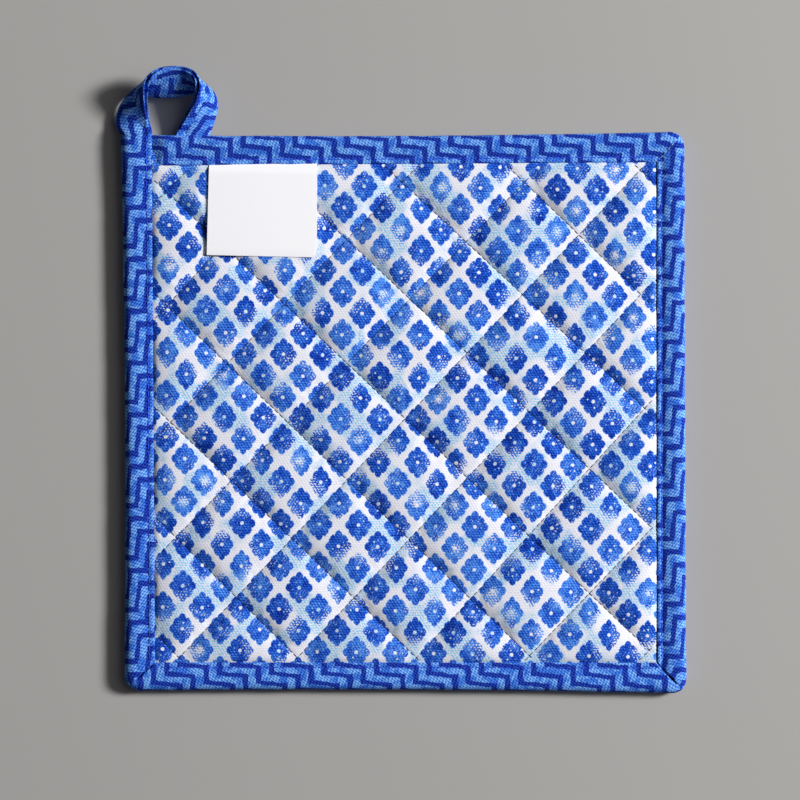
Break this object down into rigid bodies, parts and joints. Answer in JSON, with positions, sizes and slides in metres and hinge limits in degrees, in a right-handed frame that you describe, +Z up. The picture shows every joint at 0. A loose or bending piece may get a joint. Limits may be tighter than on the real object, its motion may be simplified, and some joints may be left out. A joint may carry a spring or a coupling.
{
  "type": "quilted pot holder",
  "caption": "Square padded cloth holder sewn in diamonds, with a bound edge, a corner hanging loop and a plain sewn-in label, lying flat.",
  "frame": {"origin": "on the table, under the middle of the whole outline with the hanging loop", "axes": "+Z up off the table, +Y towards the side with the hanging loop, +X to the right with the printed face up"},
  "size_m": [0.2064, 0.2254, 0.0129],
  "materials": {
    "printed_cotton": "white twill cotton with small blue flowers, matt",
    "binding_tape": "blue twill tape with a stepped zigzag stripe, matt",
    "loop_tape": "blue twill tape with a stepped zigzag stripe, matt",
    "label_satin": "white satin ribbon, slight sheen"
  },
  "bodies": {
    "root": {"quilted_pad": "printed_cotton", "binding": "binding_tape", "hanging_loop": "loop_tape", "label": "label_satin"}
  },
  "joints": []
}
